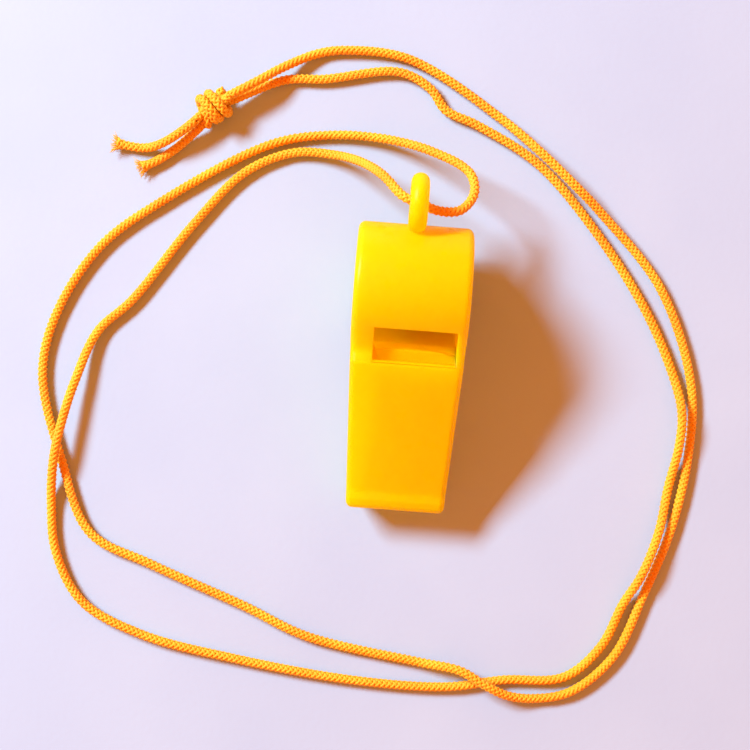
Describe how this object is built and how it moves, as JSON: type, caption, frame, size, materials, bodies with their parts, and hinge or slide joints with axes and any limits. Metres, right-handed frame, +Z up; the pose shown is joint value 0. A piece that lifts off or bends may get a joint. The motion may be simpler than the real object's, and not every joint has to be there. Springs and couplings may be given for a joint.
{
  "type": "training whistle",
  "caption": "Moulded plastic pea whistle with a round barrel, flat mouthpiece, side cap and ring eyelet, on a thin braided lanyard tied in a knot.",
  "frame": {"origin": "on the surface that the whistle lies on, under the middle of the whistle's own box, cord left out", "axes": "+Z up; +Y along the whistle towards its eyelet, with the mouthpiece towards -Y; +X along the barrel's axis, away from the side cap"},
  "size_m": [0.119, 0.1159, 0.023],
  "materials": {
    "whistle_plastic": "glossy yellow moulded plastic that lets a little light through",
    "pea": "raw cork; a guess, since the pea is hidden",
    "lanyard": "golden orange braided cord; its fibre is a guess"
  },
  "bodies": {
    "whistle": {"whistle_body": "whistle_plastic", "side_cap": "whistle_plastic", "lanyard_strand_a": "lanyard", "lanyard_strand_b": "lanyard", "lanyard_knot": "lanyard", "cord_tail_a": "lanyard", "cord_tail_b": "lanyard"},
    "pea": {"pea": "pea"}
  },
  "joints": [
    {"name": "pea_orbit", "type": "hinge", "parent": "whistle", "child": "pea", "pos_m": [0, 0.00945, 0.0115], "axis": [1, 0, 0], "continuous": true}
  ]
}
